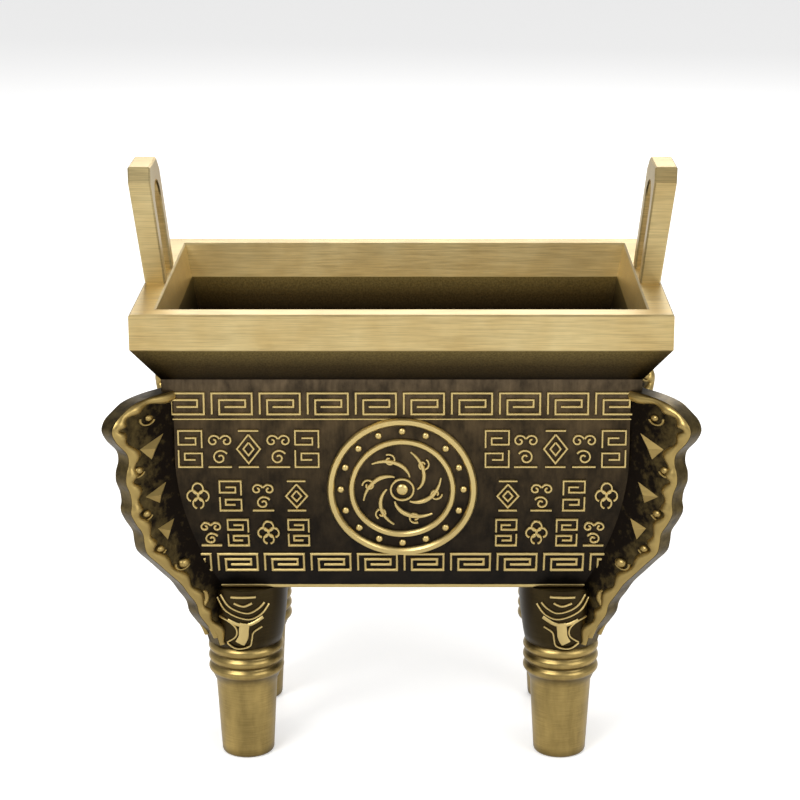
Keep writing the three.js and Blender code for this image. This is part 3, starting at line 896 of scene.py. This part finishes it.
def make_leg(corner):
    """A round leg with three rings, and the carving on the side of it that faces front or rear."""
    sign_x, sign_y = CORNERS[corner]
    centre = (sign_x * LEG_X, sign_y * LEG_Y)
    shape = Shape()
    rings = []
    for radius, height, lift in leg_profile():
        ring = []
        for i in range(LEG_SIDES):
            angle = 2 * math.pi * i / LEG_SIDES
            x = centre[0] + radius * MM * math.cos(angle)
            y = centre[1] + radius * MM * math.sin(angle)
            ring.append(shape.point((x, y, height * MM), lift))
        rings.append(ring)
    shape.sweep(rings)
    leg = shape.piece(f"turned_leg_{corner}", [finish("leg")], 50)
    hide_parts(f"leg_{corner}")
    carving = Shape()

    def place(across, drop, lift):
        height = RIM_TOP - drop
        share = min(1.0, max(0.0, (height / MM - NECK_LOW) / (BELLY_BOTTOM / MM - NECK_LOW)))
        radius = leg_neck_radius(share) * MM
        angle = across / radius
        reach = radius + lift
        return (centre[0] + reach * math.sin(angle), centre[1] + sign_y * reach * math.cos(angle), height)

    for points, width in LEG_CARVING:
        line = smooth_line([(-sign_x * x * MM, y * MM) for x, y in points], 6)
        ribbon(carving, place, line, width * MM, CARVING_HEIGHT)
    carving.piece(f"leg_carving_{corner}", [finish("relief")])


def dress(node, name):
    """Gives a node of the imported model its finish."""
    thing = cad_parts[node]
    thing.data.materials.clear()
    thing.data.materials.append(finish(name))


# Stage


FLOOR_REACH = 9.0
FLOOR_UNDER = 0.2 * MM  # how far the floor lies under the feet
LAMPS = [  # name, place, size and power
    ("key", (-0.9, -1.3, 1.5), 1.0, 26),
    ("fill", (1.3, -1.2, 0.9), 1.2, 14),
    ("back", (0.2, 1.5, 1.4), 1.4, 18),
]
LIT_PLACE = Vector((0, 0, 0.15))  # the point that all lamps face
LENS = 107.2
SENSOR = 36
SHIFT = -0.0351
CAMERA_PLACE = (12.72 * MM, -1184.6 * MM, RIM_TOP + 275.8 * MM)
CAMERA_PITCH = 16.13  # degrees below level


def make_floor():
    """A pale paper floor that keeps the object's shadow and looks white."""
    corners = [(x * FLOOR_REACH, y * FLOOR_REACH, -FLOOR_UNDER) for x, y in CORNERS.values()]
    mesh = bpy.data.meshes.new("studio_floor")
    mesh.from_pydata(corners, [], [(0, 1, 2, 3)])
    sheet = bpy.data.objects.new("studio_floor", mesh)
    material, tree = new_material("pale_studio_paper")
    path = add_node(tree, "ShaderNodeLightPath")
    paper = add_node(tree, "ShaderNodeBsdfPrincipled", {"Base Color": srgb("#f4f3f1"), "Roughness": 0.8})
    glow = add_node(tree, "ShaderNodeEmission", {"Color": srgb("#ffffff"), "Strength": 0.35})
    both = add_node(tree, "ShaderNodeAddShader", {0: paper.outputs[0], 1: glow.outputs[0]})
    in_view = path.outputs["Is Camera Ray"]
    seen = add_node(tree, MIX_SHADER, {0: in_view, 1: paper.outputs[0], 2: both.outputs[0]})
    add_node(tree, "ShaderNodeOutputMaterial", {"Surface": seen.outputs[0]})
    mesh.materials.append(material)
    bpy.context.scene.collection.objects.link(sheet)


def make_lamps():
    """Three large soft lamps."""
    for name, place, size, power in LAMPS:
        lamp = bpy.data.lights.new(name, "AREA")
        lamp.size = size
        lamp.energy = power
        holder = bpy.data.objects.new(name, lamp)
        holder.location = place
        aim = LIT_PLACE - Vector(place)
        holder.rotation_euler = aim.to_track_quat("-Z", "Y").to_euler()
        bpy.context.scene.collection.objects.link(holder)


def make_room():
    """Soft light from all round, which the camera sees as white."""
    world = bpy.data.worlds.new("studio")
    world.use_nodes = True
    tree = world.node_tree
    tree.nodes.clear()
    path = add_node(tree, "ShaderNodeLightPath")
    soft = add_node(tree, "ShaderNodeBackground", {"Color": srgb("#f2f3f5"), "Strength": 0.55})
    white = add_node(tree, "ShaderNodeBackground", {"Color": srgb("#ffffff"), "Strength": 1.0})
    in_view = path.outputs["Is Camera Ray"]
    mixed = add_node(tree, MIX_SHADER, {0: in_view, 1: soft.outputs[0], 2: white.outputs[0]})
    add_node(tree, "ShaderNodeOutputWorld", {"Surface": mixed.outputs[0]})
    bpy.context.scene.world = world


def make_camera():
    """A camera at the photograph's viewing angle."""
    camera = bpy.data.cameras.new("camera")
    camera.sensor_width = SENSOR
    camera.lens = LENS
    camera.shift_x = SHIFT
    camera.clip_end = 50
    holder = bpy.data.objects.new("camera", camera)
    holder.location = CAMERA_PLACE
    holder.rotation_euler = (math.radians(90 - CAMERA_PITCH), 0, 0)
    bpy.context.scene.collection.objects.link(holder)
    bpy.context.scene.camera = holder


# Operators


class DING_OT_walls(bpy.types.Operator):
    """Make the four curved walls with their frets, medallions and ornaments"""

    bl_idname = "ding.walls"
    bl_label = "Walls and relief"

    def execute(self, context):
        for side in range(4):
            make_wall(side)
            make_frets(side)
            make_medallion(side)
            make_motifs(side)
        return {"FINISHED"}


class DING_OT_flanges(bpy.types.Operator):
    """Make the four beaded corner flanges"""

    bl_idname = "ding.flanges"
    bl_label = "Corner flanges"

    def execute(self, context):
        for corner in CORNERS:
            make_flange(corner)
        return {"FINISHED"}


class DING_OT_legs(bpy.types.Operator):
    """Make the four turned legs and the carving on them"""

    bl_idname = "ding.legs"
    bl_label = "Legs"

    def execute(self, context):
        for corner in CORNERS:
            make_leg(corner)
        return {"FINISHED"}


class DING_OT_rim(bpy.types.Operator):
    """Finish the rim, the ears, the floor and the fasteners"""

    bl_idname = "ding.rim"
    bl_label = "Rim, ears and fasteners"

    def execute(self, context):
        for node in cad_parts:
            if node in ("rim_frame", "ear_left", "ear_right"):
                dress(node, "pale")
            elif node == "floor_plate":
                dress(node, "cavity")
            elif "bolt" in node or "washer" in node or "screw" in node:
                dress(node, "steel")
        return {"FINISHED"}


class DING_OT_stage(bpy.types.Operator):
    """Set the floor, the lamps and the camera"""

    bl_idname = "ding.stage"
    bl_label = "Studio"

    def execute(self, context):
        make_floor()
        make_lamps()
        make_room()
        make_camera()
        context.scene.view_settings.view_transform = "Standard"
        return {"FINISHED"}


STEPS = (DING_OT_walls, DING_OT_flanges, DING_OT_legs, DING_OT_rim, DING_OT_stage)


class DING_PT_panel(bpy.types.Panel):
    """Sizes, colours and the steps that make the object"""

    bl_label = "Ding"
    bl_idname = "DING_PT_panel"
    bl_space_type = "VIEW_3D"
    bl_region_type = "UI"
    bl_category = "Ding"

    def draw(self, context):
        for group in (context.scene.ding_sizes, context.scene.ding_colours):
            for name in group.bl_rna.properties.keys():
                if name not in ("rna_type", "name"):
                    self.layout.prop(group, name)
        for step in STEPS:
            self.layout.operator(step.bl_idname)


CLASSES = (DingSizes, DingColours, *STEPS, DING_PT_panel)


def register():
    for each in CLASSES:
        bpy.utils.register_class(each)
    bpy.types.Scene.ding_sizes = bpy.props.PointerProperty(type=DingSizes)
    bpy.types.Scene.ding_colours = bpy.props.PointerProperty(type=DingColours)


def unregister():
    del bpy.types.Scene.ding_colours
    del bpy.types.Scene.ding_sizes
    for each in reversed(CLASSES):
        bpy.utils.unregister_class(each)


def main():
    register()
    bpy.ops.ding.stage()
    bpy.ops.ding.walls()
    bpy.ops.ding.flanges()
    bpy.ops.ding.legs()
    bpy.ops.ding.rim()


if __name__ == "__main__":
    main()
